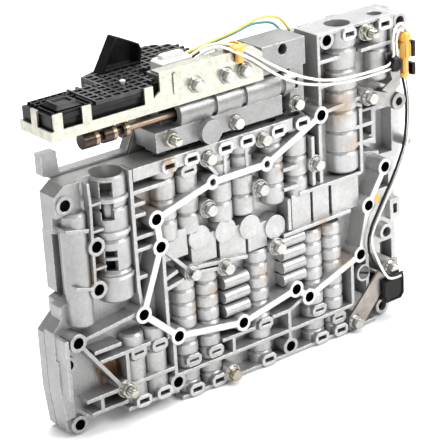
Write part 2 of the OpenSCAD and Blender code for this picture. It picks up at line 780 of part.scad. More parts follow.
module manual_body_bolts() {
    color("lightyellow") for (p = manual_bolts) {
        flange_bolt(p, manual_front, rear_y + thread_l - manual_front);
    }
}

bracket_bolt_points = [[-13, 231], [13, 231], [28, 231]];

module bracket_bolts() {
    color("lightyellow") for (p = bracket_bolt_points) flange_bolt(p, -sheet_t, thread_l);
}

arm_screw_l = 14;

module side_bolts() {
    color("lightyellow") {
        for (p = [arm_bolt, lower_arm_bolt]) {
            flange_bolt(p, rib_drop - sheet_t, rear_y + thread_l - rib_drop + sheet_t);
        }
        flange_bolt(arm_post, rib_drop - sheet_t, arm_screw_l);
    }
}

stud_seats = [for (p = face_studs) [p, rib_drop], [manual_stud, manual_front]];

module studs() {
    color("darkkhaki") for (s = stud_seats) {
        along_y(s[0], bolt_d / 2, s[1] - stud_nut_h - stud_free, rear_y + thread_l);
    }
}

module stud_nuts() {
    color("darkkhaki") for (s = stud_seats) translate([s[0][0], s[1], s[0][1]]) rotate([90, 0, 0])
        difference() {
            union() {
                cylinder(r1 = flange_d / 2, r2 = flange_d / 2 - flange_taper, h = flange_t);
                hex_head(nut_af, stud_nut_h);
            }
            translate([0, 0, -past]) cylinder(r = bolt_hole_r, h = stud_nut_h + past * 2);
        }
}

// Sheet steel bracket that carries the control module on the manual valve body
bracket_l = -128;
bracket_r = 45;
bracket_z = 220;
bracket_top = 246;
bracket_deep = 36;
rail_top = 227;
tab_top = 238;
tab_w = 7;
tabs = [-122, -100, -51];
plate_l = -42;
floor_r = -46;
fold = 8;
fold_r = bracket_r - 8;
front_plate = [
    [bracket_l, bracket_z], [bracket_r, bracket_z], [bracket_r, tab_top + 2], [fold_r, bracket_top],
    [plate_l, bracket_top], [plate_l, rail_top + 6], [plate_l - 10, rail_top], [bracket_l, rail_top]];

module module_bracket() {
    color("ivory")
    difference() {
        union() {
            layer(-sheet_t, 0) {
                polygon(front_plate);
                for (x = tabs) block2([x - tab_w / 2, x + tab_w / 2, bracket_z, tab_top]);
            }
            box([bracket_l, -sheet_t, bracket_z], [floor_r, bracket_deep, module_z]);
            box([bracket_l, -sheet_t, bracket_z], [bracket_l + sheet_t, bracket_deep, rail_top]);
            box([bracket_l, (bracket_deep - tab_w) / 2, bracket_z],
                [bracket_l + sheet_t, (bracket_deep + tab_w) / 2, tab_top]);
            box([plate_l, -sheet_t, bracket_top - sheet_t], [fold_r, fold, bracket_top]);
        }
        for (p = bracket_bolt_points) along_y(p, bolt_hole_r, -sheet_t - past, past);
    }
}

// Control module: an L-shaped plastic housing, ribbed on top
module_z = bracket_z + sheet_t;
module_top = module_z + module_h;
module_gap = 1;
module_front = module_gap;
module_left = bracket_l + sheet_t + module_gap;
module_right = 20;
module_back = 76;
wing_l = -70;
module_outline = [
    [module_left, module_front], [-46, module_front], [-46, 9], [-36, 9], [-36, 34], [module_right, 34],
    [module_right, 64], [2, module_back], [wing_l, 50], [wing_l, bracket_deep], [module_left, bracket_deep]];
panel_d = 2;
panel_in = 3;
panels = [[-118, -104], [-96, -55]];

module control_module() {
    color("dimgray")
    difference() {
        translate([0, 0, module_z]) linear_extrude(module_h) polygon(module_outline);
        for (p = panels) {
            box([p[0], 0, module_z + panel_in], [p[1], module_front + panel_d, module_top - panel_in]);
        }
    }
}

// Open ribbed cover on top of the housing
lattice_pitch = [7, 6];
cover_l = -90;

module module_cover() {
    color("gray")
    translate([0, 0, module_top]) linear_extrude(lattice_h) intersection() {
        polygon(module_outline);
        union() {
            for (y = [module_front : lattice_pitch[1] : module_back]) {
                bar([cover_l, y], [module_right, y], lattice_w);
            }
            for (x = [cover_l : lattice_pitch[0] : module_right]) {
                bar([x, module_front], [x, module_back], lattice_w);
            }
            bar([wing_l, 50], [2, module_back], lattice_w * 2);
        }
    }
}

// Block at the left end of the housing, with a shallow recess
connector_foot = [[-119, 4], [-99, 23]];
connector_h = 5;
connector_wall = 2;
recess_d = 1.5;

module module_connector() {
    low = concat(connector_foot[0], module_top);
    high = concat(connector_foot[1], module_top + connector_h);
    color("black") difference() {
        box(low, high);
        box([low[0] + connector_wall, low[1] + connector_wall, high[2] - recess_d],
            [high[0] - connector_wall * 3, high[1] - connector_wall, high[2] + past]);
    }
}

// Upright wedge of the range position switch
switch_y = 45;
switch_t = 9;
switch_outline = [[-57, 0], [-24, 0], [-22, 9], [-24, 14], [-39, 21.4], [-43, 23]];

module position_switch() {
    color("black") translate([0, 0, module_top + lattice_h])
        layer(switch_y, switch_y + switch_t) polygon(switch_outline);
}

// Pale plug that locks the harness, on top of the manual valve body
lock_foot = [[-30, 12], [-4, 26]];
lock_h = 9;
lock_key_h = 3;
lock_key_in = 4;

module connector_lock() {
    low = concat(lock_foot[0], flange_top);
    high = concat(lock_foot[1], flange_top + lock_h);
    color("white") {
        box(low, high);
        box([low[0] + lock_key_in, low[1] + lock_key_in, high[2]],
            [high[0] - lock_key_in, high[1] - lock_key_in, high[2] + lock_key_h]);
    }
}

// Wire clips: one hooked over the bracket, one beside the lower wire run
hook = [[18, -6], [28, fold]];
hook_h = 5;
hook_leg = [21, 26];
hook_drop = 8;
side_clip = [163, 92];
side_clip_r = 4;
side_clip_l = 5;

module wire_clips() {
    color("goldenrod") {
        box(concat(hook[0], bracket_top), concat(hook[1], bracket_top + hook_h));
        box([hook_leg[0], hook[0][1], bracket_top - hook_drop], [hook_leg[1], -sheet_t, bracket_top]);
        along_y(side_clip, side_clip_r, field_y - side_clip_l, field_y);
    }
}

// Plug connector of the turbine sensor, upright at the right end
plug_low = [177, 0, 188];
plug_high = [187, 9, 222];
plug_key = 2;
plug_latch_in = 6;

module sensor_connector() {
    color("orange") {
        box(plug_low, plug_high);
        box(plug_low + [-plug_key, 1, plug_latch_in],
            [plug_low[0], plug_high[1] - 1, plug_high[2] - plug_latch_in]);
        box(plug_low + [2, -plug_key, plug_latch_in],
            [plug_high[0] - 2, plug_low[1], plug_high[2] - plug_latch_in]);
    }
}

// Plastic holder behind the connector, standing on the rear casting
holder_wall = 3;
holder_back = 4;
holder_top = 214;
holder_hooks = [[188, 197], [202, 214]];

module connector_holder() {
    left = plug_low[0] - holder_wall;
    right = plug_high[0] + holder_wall;
    back = plug_high[1] + holder_back;
    color("black") {
        box([left, plug_high[1], plug_low[2] - holder_wall], [right, back, plug_high[2] - holder_wall]);
        for (h = holder_hooks) box([plug_high[0], plug_low[1] + 1, h[0]], [right, back, h[1]]);
        box([left, back - past, plug_low[2] + holder_wall], [plug_high[0] - holder_wall, rear_y, holder_top]);
    }
}

grommet_low = [159, -7, 197];
grommet_high = [170, rib_drop - sheet_t, 209];

module wire_grommet() {
    color("black") box(grommet_low, grommet_high);
}

// Steel arm that carries the connector at the right end
upper_hole = [171, 172];
upper_boss_r = 6.5;
upper_arm = [[156, 184], [166, 190], [160, 211], [174, 211], [174, 184], [166, 178]];
arm_w = 10;
shelf = [170.6, 186];

module upper_bracket() {
    arm_y = rib_drop - sheet_t;
    color("lightgray")
    difference() {
        union() {
            layer(arm_y, rib_drop) {
                bar(arm_bolt, upper_hole, arm_w);
                translate(arm_bolt) circle(seat_pad_r);
                polygon(upper_arm);
            }
            along_y(upper_hole, upper_boss_r, arm_y - sheet_t, rear_y);
            box([shelf[0], arm_y, shelf[1]],
                [plug_low[0] - holder_wall, plug_high[1] + holder_back, shelf[1] + sheet_t]);
        }
        along_y(arm_bolt, bolt_hole_r, arm_y - past, rib_drop + past);
        along_y(upper_hole, bolt_hole_r, arm_y - sheet_t - past, rear_y + past);
    }
}

// Steel arm and speed sensor at the lower right
sensor_low = [150.5, -4, 14];
sensor_high = [171.5, 5, 33.5];
sensor_stem_r = 7;
lower_arm = [[118, 1], [131, 1], [157, 30], [168, 35], [168, 47], [154, 47], [118, 12]];

module lower_bracket() {
    color("lightgray")
    difference() {
        layer(rib_drop - sheet_t, rib_drop) union() {
            polygon(lower_arm);
            translate(lower_arm_bolt) circle(seat_pad_r);
        }
        for (p = [lower_arm_bolt, arm_post]) along_y(p, bolt_hole_r, -past, rib_drop + past);
        box(sensor_low - [end_gap, past, end_gap], sensor_high + [end_gap, past, end_gap]);
    }
}

module speed_sensor() {
    stem = [(sensor_low[0] + sensor_high[0]) / 2, (sensor_low[2] + sensor_high[2]) / 2];
    color("black") {
        box(sensor_low, sensor_high);
        along_y(stem, sensor_stem_r, sensor_high[1] - past, field_y);
    }
}

// Solenoid valves on the hidden side, held by one retaining plate
solenoid_x = [68 : 16 : 116];
solenoid_r = 7.5;
solenoid_y = bracket_seat_y - solenoid_r - end_gap;
nose_r = 5;
terminal = [10, 11, 9];
terminal_gap = 2;
solenoid_z = [solenoid_bay[2] + terminal[2] + terminal_gap, nose_bar[2] - end_gap];

module solenoids() {
    color("darkgray") for (x = solenoid_x) {
        along_z(x, solenoid_y, solenoid_r, solenoid_z[0], solenoid_z[1]);
        along_z(x, solenoid_y, nose_r, solenoid_z[1] - past, nose_bar[3] - end_gap * 2);
        translate([x, solenoid_y, solenoid_z[0] - terminal[2] / 2 + past]) cube(terminal, center = true);
    }
}

module solenoid_bracket() {
    color("lightgray") difference() {
        layer(bracket_seat_y, bracket_seat_y + sheet_t) {
            bar(solenoid_screws[0], solenoid_screws[1], arm_w);
            for (p = solenoid_screws) translate(p) circle(boss_r);
        }
        for (p = solenoid_screws) along_y(p, bolt_hole_r, bracket_seat_y - past, back_y);
    }
}

module solenoid_bolts() {
    color("lightyellow") for (p = solenoid_screws) {
        mirror([0, 1, 0]) flange_bolt(p, -bracket_seat_y - sheet_t, screw_l + sheet_t);
    }
}

// Wires: tubes along points chosen by hand
wire_sides = 8;
function bend(points, i) = unit(points[min(i + 1, len(points) - 1)] - points[max(i - 1, 0)]);
function across(t) = unit(cross(t, abs(t[2]) > 0.9 ? [0, 1, 0] : [0, 0, 1]));

module wire(points) {
    rings = [for (i = [0 : len(points) - 1]) let (t = bend(points, i), s = across(t))
        ring_points(points[i], s, cross(s, t), wire_d / 2, wire_sides)];
    polyhedron([for (ring = rings) each ring], tube_faces(len(points), wire_sides));
}

sensor_route_a = [
    [-4, 18, 243], [8, 14, 249], [17, 4, 251], [24, -5, 248], [36, -5, 240], [49, -4, 231], [65, -4, 221],
    [81, -4, 213], [98, -4, 207], [116, -4, 204], [134, -4, 203], [152, -4, 203], [160, -4, 204],
    [165, -3, 210], [166, -1, 220], [171, 1, 228], [179, 3, 229], [184, 4, 222]];
sensor_route_b = [
    [-4, 15, 241], [6, 12, 246], [13, 3, 250], [20, -6, 246], [33, -6, 238], [46, -5, 228], [62, -4, 217],
    [79, -4, 209], [97, -4, 204], [116, -4, 201], [134, -4, 200], [152, -4, 200], [162, -4, 201],
    [168, -3, 208], [169, -1, 218], [173, 1, 224], [177, 3, 225], [180, 4, 222]];
black_route = [
    [180, 5, 188], [182, 4, 176], [181, 2, 162], [176, -1, 141], [168, -3, 127], [160, -3, 113],
    [140, -3, 83], [136, -3, 68], [139, -3, 56], [145, -4, 46], [151, -5, 40], [158, -7, 38], [166, -7, 38],
    [170, 0, 33.5]];
white_route = [
    [184, 5, 188], [185, 4, 176], [184, 2, 161], [179, -1, 140], [171, -3, 126], [163, -3, 112],
    [143, -3, 82], [139, -3, 69], [142, -5, 57], [146, -7, 46], [151, -8, 38], [158, -7, 35.5],
    [164, -7, 35.5], [167, 0, 33.5]];
yellow_route = [
    [-4, 22, 245], [14, 23, 247], [30, 25, 248], [46, 28, 249], [62, 31, 251], [76, 33, 251], [89, 33, 247],
    [98, 33, 236]];
teal_route = [
    [-4, 25, 243], [14, 27, 244], [30, 29, 245], [46, 31, 246], [62, 33, 248], [74, 34, 247], [84, 34, 244],
    [91, 33, 236]];

module sensor_wire_a() {
    color("ivory") wire(sensor_route_a);
}

module sensor_wire_b() {
    color("ivory") wire(sensor_route_b);
}

module output_wire_black() {
    color("black") wire(black_route);
}

module output_wire_white() {
    color("ivory") wire(white_route);
}

module harness_wire_yellow() {
    color("khaki") wire(yellow_route);
}

module harness_wire_teal() {
    color("teal") wire(teal_route);
}

// Puts the middle of the part over the origin
module placed() {
    translate([-middle[0], -middle[1], 0]) children();
}

placed() front_body();
placed() front_gasket();
placed() separator_plate();
placed() rear_gasket();
placed() rear_body();
placed() manual_valve_body();
placed() manual_valve();
placed() lower_spool(0);  // clutch_pressure_spool
placed() lower_spool(1);  // line_relief_spool
placed() lower_spool(2);  // pilot_spool
placed() lower_spool(3);  // pressure_regulator_spool
placed() lower_spool(4);  // converter_spool
placed() upper_spool(0);  // direct_clutch_spool
placed() upper_spool(1);  // reverse_clutch_spool
placed() upper_spool(2);  // brake_spool
placed() lower_spring(0);  // clutch_pressure_spring
placed() lower_spring(1);  // line_relief_spring
placed() lower_spring(2);  // pilot_spring
placed() lower_spring(3);  // pressure_regulator_spring
placed() lower_spring(4);  // converter_spring
placed() upper_spring(0);  // direct_clutch_spring
placed() upper_spring(1);  // reverse_clutch_spring
placed() upper_spring(2);  // brake_spring
placed() accumulator_piston();
placed() accumulator_spring();
placed() bore_plugs();
placed() retainer_clips();
placed() check_balls();
placed() slotted_plug();
placed() body_bolts();
placed() rim_bolts();
placed() manual_body_bolts();
placed() bracket_bolts();
placed() side_bolts();
placed() studs();
placed() stud_nuts();
placed() module_bracket();
placed() control_module();
placed() module_cover();
placed() module_connector();
placed() position_switch();
placed() connector_lock();
placed() wire_clips();
placed() sensor_connector();
placed() connector_holder();
placed() wire_grommet();
placed() upper_bracket();
placed() lower_bracket();
placed() speed_sensor();
placed() solenoids();
placed() solenoid_bracket();
placed() solenoid_bolts();
placed() sensor_wire_a();
placed() sensor_wire_b();
placed() output_wire_black();
placed() output_wire_white();
placed() harness_wire_yellow();
placed() harness_wire_teal();
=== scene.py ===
"""Valve body of an automatic transmission: finishes, wires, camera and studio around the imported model."""
import json
import math

import bmesh
import bpy
from mathutils import Matrix, Vector


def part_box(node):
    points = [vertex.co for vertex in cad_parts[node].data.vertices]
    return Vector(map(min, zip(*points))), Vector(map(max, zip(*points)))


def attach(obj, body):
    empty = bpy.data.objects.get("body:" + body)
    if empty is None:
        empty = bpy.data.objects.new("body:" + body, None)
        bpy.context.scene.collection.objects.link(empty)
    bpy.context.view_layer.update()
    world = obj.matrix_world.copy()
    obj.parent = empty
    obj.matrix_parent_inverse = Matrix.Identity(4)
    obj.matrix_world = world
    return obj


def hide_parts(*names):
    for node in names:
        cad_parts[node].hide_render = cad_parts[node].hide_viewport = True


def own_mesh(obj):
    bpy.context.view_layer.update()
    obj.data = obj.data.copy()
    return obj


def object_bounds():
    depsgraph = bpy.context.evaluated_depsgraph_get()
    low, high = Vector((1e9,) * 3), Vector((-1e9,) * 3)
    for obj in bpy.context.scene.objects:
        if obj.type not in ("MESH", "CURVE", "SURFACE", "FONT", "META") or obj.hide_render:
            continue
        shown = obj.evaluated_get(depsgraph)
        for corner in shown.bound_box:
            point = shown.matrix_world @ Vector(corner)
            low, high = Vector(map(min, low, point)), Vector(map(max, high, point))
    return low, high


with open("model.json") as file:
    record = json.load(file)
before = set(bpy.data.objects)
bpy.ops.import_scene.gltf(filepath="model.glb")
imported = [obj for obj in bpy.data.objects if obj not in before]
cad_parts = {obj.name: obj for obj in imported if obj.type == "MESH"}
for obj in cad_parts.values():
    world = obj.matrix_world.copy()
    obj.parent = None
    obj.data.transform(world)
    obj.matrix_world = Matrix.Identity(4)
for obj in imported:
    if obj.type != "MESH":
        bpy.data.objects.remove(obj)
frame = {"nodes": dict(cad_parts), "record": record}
CAD_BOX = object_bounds()
NODES = frame["nodes"]
SCENE = bpy.context.scene
MM = 0.001

# The drawing is measured from a point of the rail face, the frame from the middle of the part's footprint
MIDDLE = Vector((31.5, 33.5, 0))


def at(x, y, z):
    """Point of the drawing, in millimetres, as a point of the frame in metres."""
    return (Vector((x, y, z)) - MIDDLE) * MM


# Camera
FRAME_PX = 440
FOCAL_PX = 1818
SENSOR_MM = 36
AZIMUTH, ELEVATION, ROLL = (math.radians(a) for a in (-36.6, 22.8, -3.3))
SIGHT = at(0, 0, 98)
SIGHT_BELOW_PX = 40
DISTANCE = 1.271


def make_camera():
    back = Vector((math.sin(AZIMUTH) * math.cos(ELEVATION), -math.cos(AZIMUTH) * math.cos(ELEVATION),
                   math.sin(ELEVATION)))
    right = Vector((math.cos(AZIMUTH), math.sin(AZIMUTH), 0))
    up = back.cross(right)
    level = (right * math.cos(ROLL) + up * math.sin(ROLL), up * math.cos(ROLL) - right * math.sin(ROLL))
    data = bpy.data.cameras.new("camera")
    data.sensor_width = SENSOR_MM
    data.lens = FOCAL_PX / FRAME_PX * SENSOR_MM
    camera = bpy.data.objects.new("camera", data)
    SCENE.collection.objects.link(camera)
    place = SIGHT + level[1] * (SIGHT_BELOW_PX / FOCAL_PX * DISTANCE) + back * DISTANCE
    camera.matrix_world = Matrix.Translation(place) @ Matrix((level[0], level[1], back)).transposed().to_4x4()
    SCENE.camera = camera


make_camera()

# Shader building


class Shader:
    """A material under construction: short calls that add and join nodes."""

    def __init__(self, name):
        self.material = bpy.data.materials.new(name)
        self.material.use_nodes = True
        self.tree = self.material.node_tree
        self.surface = self.tree.nodes["Principled BSDF"]
        self.position = self.add("ShaderNodeTexCoord").outputs["Object"]

    def add(self, kind, **settings):
        node = self.tree.nodes.new(kind)
        for key, value in settings.items():
            setattr(node, key, value)
        return node

    def put(self, socket, value):
        if isinstance(value, bpy.types.NodeSocket):
            self.tree.links.new(value, socket)
        else:
            socket.default_value = value

    def set(self, **sockets):
        for key, value in sockets.items():
            self.put(self.surface.inputs[key.replace("_", " ")], value)

    def noise(self, scale_mm, detail=4, roughness=0.55, stretch=(1, 1, 1)):
        mapping = self.add("ShaderNodeMapping")
        mapping.inputs["Scale"].default_value = stretch
        self.put(mapping.inputs["Vector"], self.position)
        node = self.add("ShaderNodeTexNoise")
        self.put(node.inputs["Vector"], mapping.outputs["Vector"])
        node.inputs["Scale"].default_value = 1 / (scale_mm * MM)
        node.inputs["Detail"].default_value = detail
        node.inputs["Roughness"].default_value = roughness
        return node.outputs["Fac"]

    def math(self, operation, a, b=0.0, clamp=False):
        node = self.add("ShaderNodeMath", operation=operation, use_clamp=clamp)
        self.put(node.inputs[0], a)
        self.put(node.inputs[1], b)
        return node.outputs[0]

    def span(self, value, low, high, to_low=0.0, to_high=1.0):
        node = self.add("ShaderNodeMapRange", clamp=True)
        self.put(node.inputs["Value"], value)
        for key, number in zip(("From Min", "From Max", "To Min", "To Max"), (low, high, to_low, to_high)):
            node.inputs[key].default_value = number
        return node.outputs["Result"]

    def mix(self, factor, a, b):
        node = self.add("ShaderNodeMix", data_type="RGBA")
        self.put(node.inputs["Factor"], factor)
        for name, colour in (("A_Color", a), ("B_Color", b)):
            socket = next(i for i in node.inputs if i.identifier == name)
            self.put(socket, colour if isinstance(colour, bpy.types.NodeSocket) else (*colour, 1))
        return next(o for o in node.outputs if o.identifier == "Result_Color")

    def axis(self, which):
        node = self.add("ShaderNodeSeparateXYZ")
        self.put(node.inputs[0], self.position)
        return node.outputs[which]

    def facing(self, which):
        geometry = self.add("ShaderNodeNewGeometry")
        node = self.add("ShaderNodeSeparateXYZ")
        self.put(node.inputs[0], geometry.outputs["Normal"])
        return node.outputs[which]

    # Ambient occlusion, which the finishes use to paint shade into corners and hollows
    def hollow(self, reach_mm):
        node = self.add("ShaderNodeAmbientOcclusion", samples=8)
        node.inputs["Distance"].default_value = reach_mm * MM
        return node.outputs["AO"]

    def near(self, place, radius_mm, ragged):
        """Mask that is one at a place of the drawing and fades out towards a ragged edge."""
        node = self.add("ShaderNodeVectorMath", operation="DISTANCE")
        self.put(node.inputs[0], self.position)
        node.inputs[1].default_value = at(*place)
        reach = self.math("MULTIPLY", self.span(ragged, 0.3, 0.7, 0.4, 1.3), radius_mm * MM)
        inside = self.math("SUBTRACT", 1, self.math("DIVIDE", node.outputs["Value"], reach))
        return self.math("MULTIPLY", inside, 1.8, clamp=True)

    def on_face(self):
        """Position with its depth taken out."""
        node = self.add("ShaderNodeVectorMath", operation="MULTIPLY")
        self.put(node.inputs[0], self.position)
        node.inputs[1].default_value = (1, 0, 1)
        return node.outputs[0]

    def beside(self, start, end, half_mm):
        """Mask of a straight bar of the face, between two points of the drawing given by X and Z."""
        a, b = (at(p[0], 0, p[1]) for p in (start, end))
        a.y = b.y = 0
        along = b - a
        away = self.add("ShaderNodeVectorMath", operation="SUBTRACT")
        self.put(away.inputs[0], self.on_face())
        away.inputs[1].default_value = a
        share = self.add("ShaderNodeVectorMath", operation="DOT_PRODUCT")
        self.put(share.inputs[0], away.outputs[0])
        share.inputs[1].default_value = along / along.length_squared
        reach = self.add("ShaderNodeVectorMath", operation="SCALE")
        reach.inputs[0].default_value = along
        self.put(reach.inputs["Scale"], self.math("ADD", share.outputs["Value"], 0.0, clamp=True))
        gap = self.add("ShaderNodeVectorMath", operation="DISTANCE")
        self.put(gap.inputs[0], away.outputs[0])
        self.put(gap.inputs[1], reach.outputs[0])
        return self.span(gap.outputs["Value"], (half_mm + BAR_BLUR) * MM, half_mm * MM)

    def within(self, places, radius_mm):
        """Mask of discs of the face round points of the drawing given by X and Z."""
        flat = self.on_face()
        mask = 0.0
        for x, z in places:
            gap = self.add("ShaderNodeVectorMath", operation="DISTANCE")
            self.put(gap.inputs[0], flat)
            middle = at(x, 0, z)
            gap.inputs[1].default_value = (middle.x, 0, middle.z)
            mask = self.math("MAXIMUM", mask, self.math("LESS_THAN", gap.outputs["Value"], radius_mm * MM))
        return mask

    def edge(self, radius_mm):
        """Normal that is rounded at edges, and a mask of the edges that stand out."""
        node = self.add("ShaderNodeBevel", samples=4)
        node.inputs["Radius"].default_value = radius_mm * MM
        plain = self.add("ShaderNodeNewGeometry")
        turn = self.add("ShaderNodeVectorMath", operation="DOT_PRODUCT")
        self.put(turn.inputs[0], node.outputs["Normal"])
        self.put(turn.inputs[1], plain.outputs["Normal"])
        return node.outputs["Normal"], self.span(turn.outputs["Value"], 0.995, 0.9)

    def bump(self, height, strength, depth_mm, normal=None):
        node = self.add("ShaderNodeBump")
        if normal:
            self.put(node.inputs["Normal"], normal)
        node.inputs["Strength"].default_value = strength
        node.inputs["Distance"].default_value = depth_mm * MM
        self.put(node.inputs["Height"], height)
        self.put(self.surface.inputs["Normal"], node.outputs["Normal"])


def grey(value, warmth=0.0):
    return (value * (1 + warmth), value, value * (1 - warmth))


# Oil stains on the castings: middle in the drawing, radius in millimetres, strength
STAINS = [
    ((-37, 0, 179), 8, 0.9), ((-52, 10, 156), 14, 0.5), ((-2, 3, 74), 9, 0.55),
    ((-20, 3, 70), 9, 0.4), ((46, 4, 72), 11, 0.6), ((118, 3, 62), 14, 0.5), ((98, 3, 92), 12, 0.5),
    ((118, 4, 180), 16, 0.6), ((128, 2, 150), 12, 0.4), ((-100, 8, 120), 14, 0.35), ((60, 4, 150), 10, 0.3)]
STAIN_COLOUR = (0.33, 0.235, 0.15)
STAIN_SMEAR = (1, 1, 0.3)
# Burnt oil in the pocket at the lower left, and the depths behind the rail over which it sets in
BURNT_PLACE, BURNT_RADIUS, BURNT_COLOUR = (-91, 14, 41), 15, (0.16, 0.085, 0.04)
BURNT_DEPTHS = (3, 6)
OILY_STEEL = (0.44, 0.39, 0.32)

# Corners of the milled rail, half the width of its bright bar, the blur of the bar's edge and the radius of the
# bosses
RAIL = [
    (157, 124), (140, 98), (131, 61), (80, 43), (68, 53), (18, 43), (-39, 52), (-67, 78), (-49, 123), (-51, 144),
    (-2, 157), (46, 157), (75, 170), (97, 180)]
RAIL_BAR, BAR_BLUR, RAIL_BOSS = 1.4, 0.4, 5.6
RAIL_BOSSES = RAIL[:10] + RAIL[13:]
# Case bolt holes of the castings, whose walls are painted black as painted shade
CASE_HOLES = RAIL_BOSSES + [
    (-99, 138), (-100, 107), (-120, 74), (106, 233), (-41, 16), (62, 8), (-117, 171), (-124, 55), (-119, 8)]
HOLE_R = 4.05
# Sizes of the grain, the skin and the tone patches of a casting, and where the shade painted on its left end starts
# and stops darkening it
CAST_GRAIN, CAST_SKIN, CAST_PATCHES = 0.55, 2.4, 16
LEFT_SHADE_END, LEFT_SHADE_START = -110, -50
# Reach of the narrow, near and wide shade painted into the corners of a casting, and the radius of its edges
SHADE_CLOSE, SHADE_NEAR, SHADE_WIDE, CAST_EDGE = 2, 6, 26, 0.9


def rail_mask(s):
    mask = s.within(RAIL_BOSSES, RAIL_BOSS)
    for start, end in zip(RAIL, RAIL[1:]):
        mask = s.math("MAXIMUM", mask, s.beside(start, end, RAIL_BAR))
    return mask


def add_oil(s, colour, rail_y):
    smear = s.noise(3, 5, stretch=STAIN_SMEAR)
    for place, radius, strength in STAINS:
        mask = s.math("MULTIPLY", s.near(place, radius, smear), strength)
        colour = s.mix(mask, colour, STAIN_COLOUR)
    deep = s.span(s.axis(1), *(rail_y + depth * MM for depth in BURNT_DEPTHS))
    burnt = s.math("MULTIPLY", s.near(BURNT_PLACE, BURNT_RADIUS, smear), deep)
    return s.mix(burnt, colour, BURNT_COLOUR)


def cast_aluminium(name, bright, rail_y=None):
    s = Shader(name)
    grain = s.noise(CAST_GRAIN, 6, 0.65)
    skin = s.noise(CAST_SKIN, 4)
    patches = s.noise(CAST_PATCHES, 5)
    colour = s.mix(s.span(patches, 0.35, 0.68), grey(bright * 0.78, 0.012), grey(bright, 0.004))
    colour = s.mix(s.span(grain, 0.36, 0.6), s.mix(0.45, colour, grey(bright * 0.55)), colour)
    colour = s.mix(s.span(skin, 0.38, 0.6, 0.0, 0.8), s.mix(0.35, colour, grey(bright * 0.5)), colour)
    # Painted shade: the colour darkens towards the left end of the casting
    left_shade = s.span(s.axis(0), at(LEFT_SHADE_END, 0, 0).x, at(LEFT_SHADE_START, 0, 0).x, 0.4, 0.0)
    colour = s.mix(left_shade, colour, grey(bright * 0.3))
    # Painted shade: darker in corners and recesses, and near black in the deepest ones
    colour = s.mix(s.span(s.hollow(SHADE_NEAR), 0.0, 0.5), grey(bright * 0.6, 0.03), colour)
    colour = s.mix(s.span(s.hollow(SHADE_WIDE), 0.02, 0.2), grey(0.004), colour)
    rounded, outer_edges = s.edge(CAST_EDGE)
    close = s.hollow(SHADE_CLOSE)
    # Lighter wear of the skin on open edges, where it is rubbed
    open_edge = s.math("MULTIPLY", outer_edges, s.span(close, 0.45, 0.85, 0.0, 0.75))
    # Painted shade in the narrowest corners
    colour = s.mix(s.span(close, 0.3, 0.66), grey(bright * 0.32, 0.03), colour)
    rough = s.span(grain, 0.3, 0.7, 0.28, 0.44)
    height = s.math("ADD", s.math("MULTIPLY", grain, 0.7), skin)
    colour = s.mix(s.math("MULTIPLY", open_edge, s.span(skin, 0.35, 0.6)), colour, grey(0.82))
    if rail_y is not None:
        flat = s.math("MULTIPLY", s.span(s.facing(1), -0.9, -0.97), s.span(s.axis(1), rail_y + 0.0003, rail_y))
        milled = s.noise(0.9, 3, stretch=(1, 1, 0.1))
        plain = s.mix(s.span(milled, 0.3, 0.7), grey(bright * 0.85), grey(bright * 1.05))
        top = s.mix(s.span(milled, 0.3, 0.7), grey(0.7), grey(0.92))
        colour = s.mix(flat, colour, s.mix(rail_mask(s), plain, top))
        colour = add_oil(s, colour, rail_y)
        # Painted shade: the walls of the case bolt holes are painted near black
        colour = s.mix(s.within(CASE_HOLES, HOLE_R), colour, grey(0.006))
        height = s.math("MULTIPLY", height, s.span(flat, 0, 1, 1.0, 0.15))
    s.set(Base_Color=colour, Metallic=0.65, Roughness=rough)
    s.bump(height, 0.45, 0.35, rounded)
    return s.material


STEEL_GRAIN, STEEL_EDGE = 0.5, 0.4
# Height in the drawing over which an oily finish fades
OILY_FADE = 2


def plated_steel(name, colour, rough=0.3, oily_below=None):
    s = Shader(name)
    grain = s.noise(STEEL_GRAIN, 5)
    patches = s.noise(5, 4)
    tint = s.mix(s.span(patches, 0.3, 0.7), tuple(c * 0.72 for c in colour), colour)
    if oily_below is not None:
        oily = s.span(s.axis(2), at(0, 0, oily_below + OILY_FADE).z, at(0, 0, oily_below).z)
        tint = s.mix(oily, tint, OILY_STEEL)
    # Painted shade: the colour darkens to near black in corners and hollows
    s.set(Base_Color=s.mix(s.span(s.hollow(5), 0.3, 0.8), grey(0.02, 0.1), tint), Metallic=0.85,
          Roughness=s.span(grain, 0.3, 0.7, rough * 0.8, rough * 1.3))
    s.bump(grain, 0.15, 0.1, s.edge(STEEL_EDGE)[0])
    return s.material


# Ends of the manual valve's collars, the width of their polished bands, and where its rod starts, all along X
COLLAR_ENDS, BAND_WIDTH, ROD_START = (-86, -72, -62), 3, -61.5


def turned_steel(name, colour, bright):
    """Dark turned valve: polished bands at the ends of its collars, and a polished rod behind them."""
    s = Shader(name)
    grain = s.noise(STEEL_GRAIN, 5, stretch=(4, 1, 1))
    along = s.axis(0)
    shine = s.span(along, at(ROD_START, 0, 0).x, at(ROD_START + 0.3, 0, 0).x)
    for end in COLLAR_ENDS:
        start = end - BAND_WIDTH
        inside = s.math("MULTIPLY", s.span(along, at(start, 0, 0).x, at(start + 0.2, 0, 0).x),
                        s.span(along, at(end + 0.2, 0, 0).x, at(end, 0, 0).x))
        shine = s.math("MAXIMUM", shine, inside)
    worn = s.math("MULTIPLY", shine, s.span(grain, 0.25, 0.6, 0.55, 1.0))
    tint = s.mix(worn, colour, bright)
    # Painted shade: the colour darkens to near black in corners and hollows
    s.set(Base_Color=s.mix(s.span(s.hollow(5), 0.2, 0.8), grey(0.01, 0.1), tint), Metallic=0.8,
          Roughness=s.span(grain, 0.3, 0.7, 0.24, 0.4))
    s.bump(grain, 0.15, 0.1, s.edge(STEEL_EDGE)[0])
    return s.material


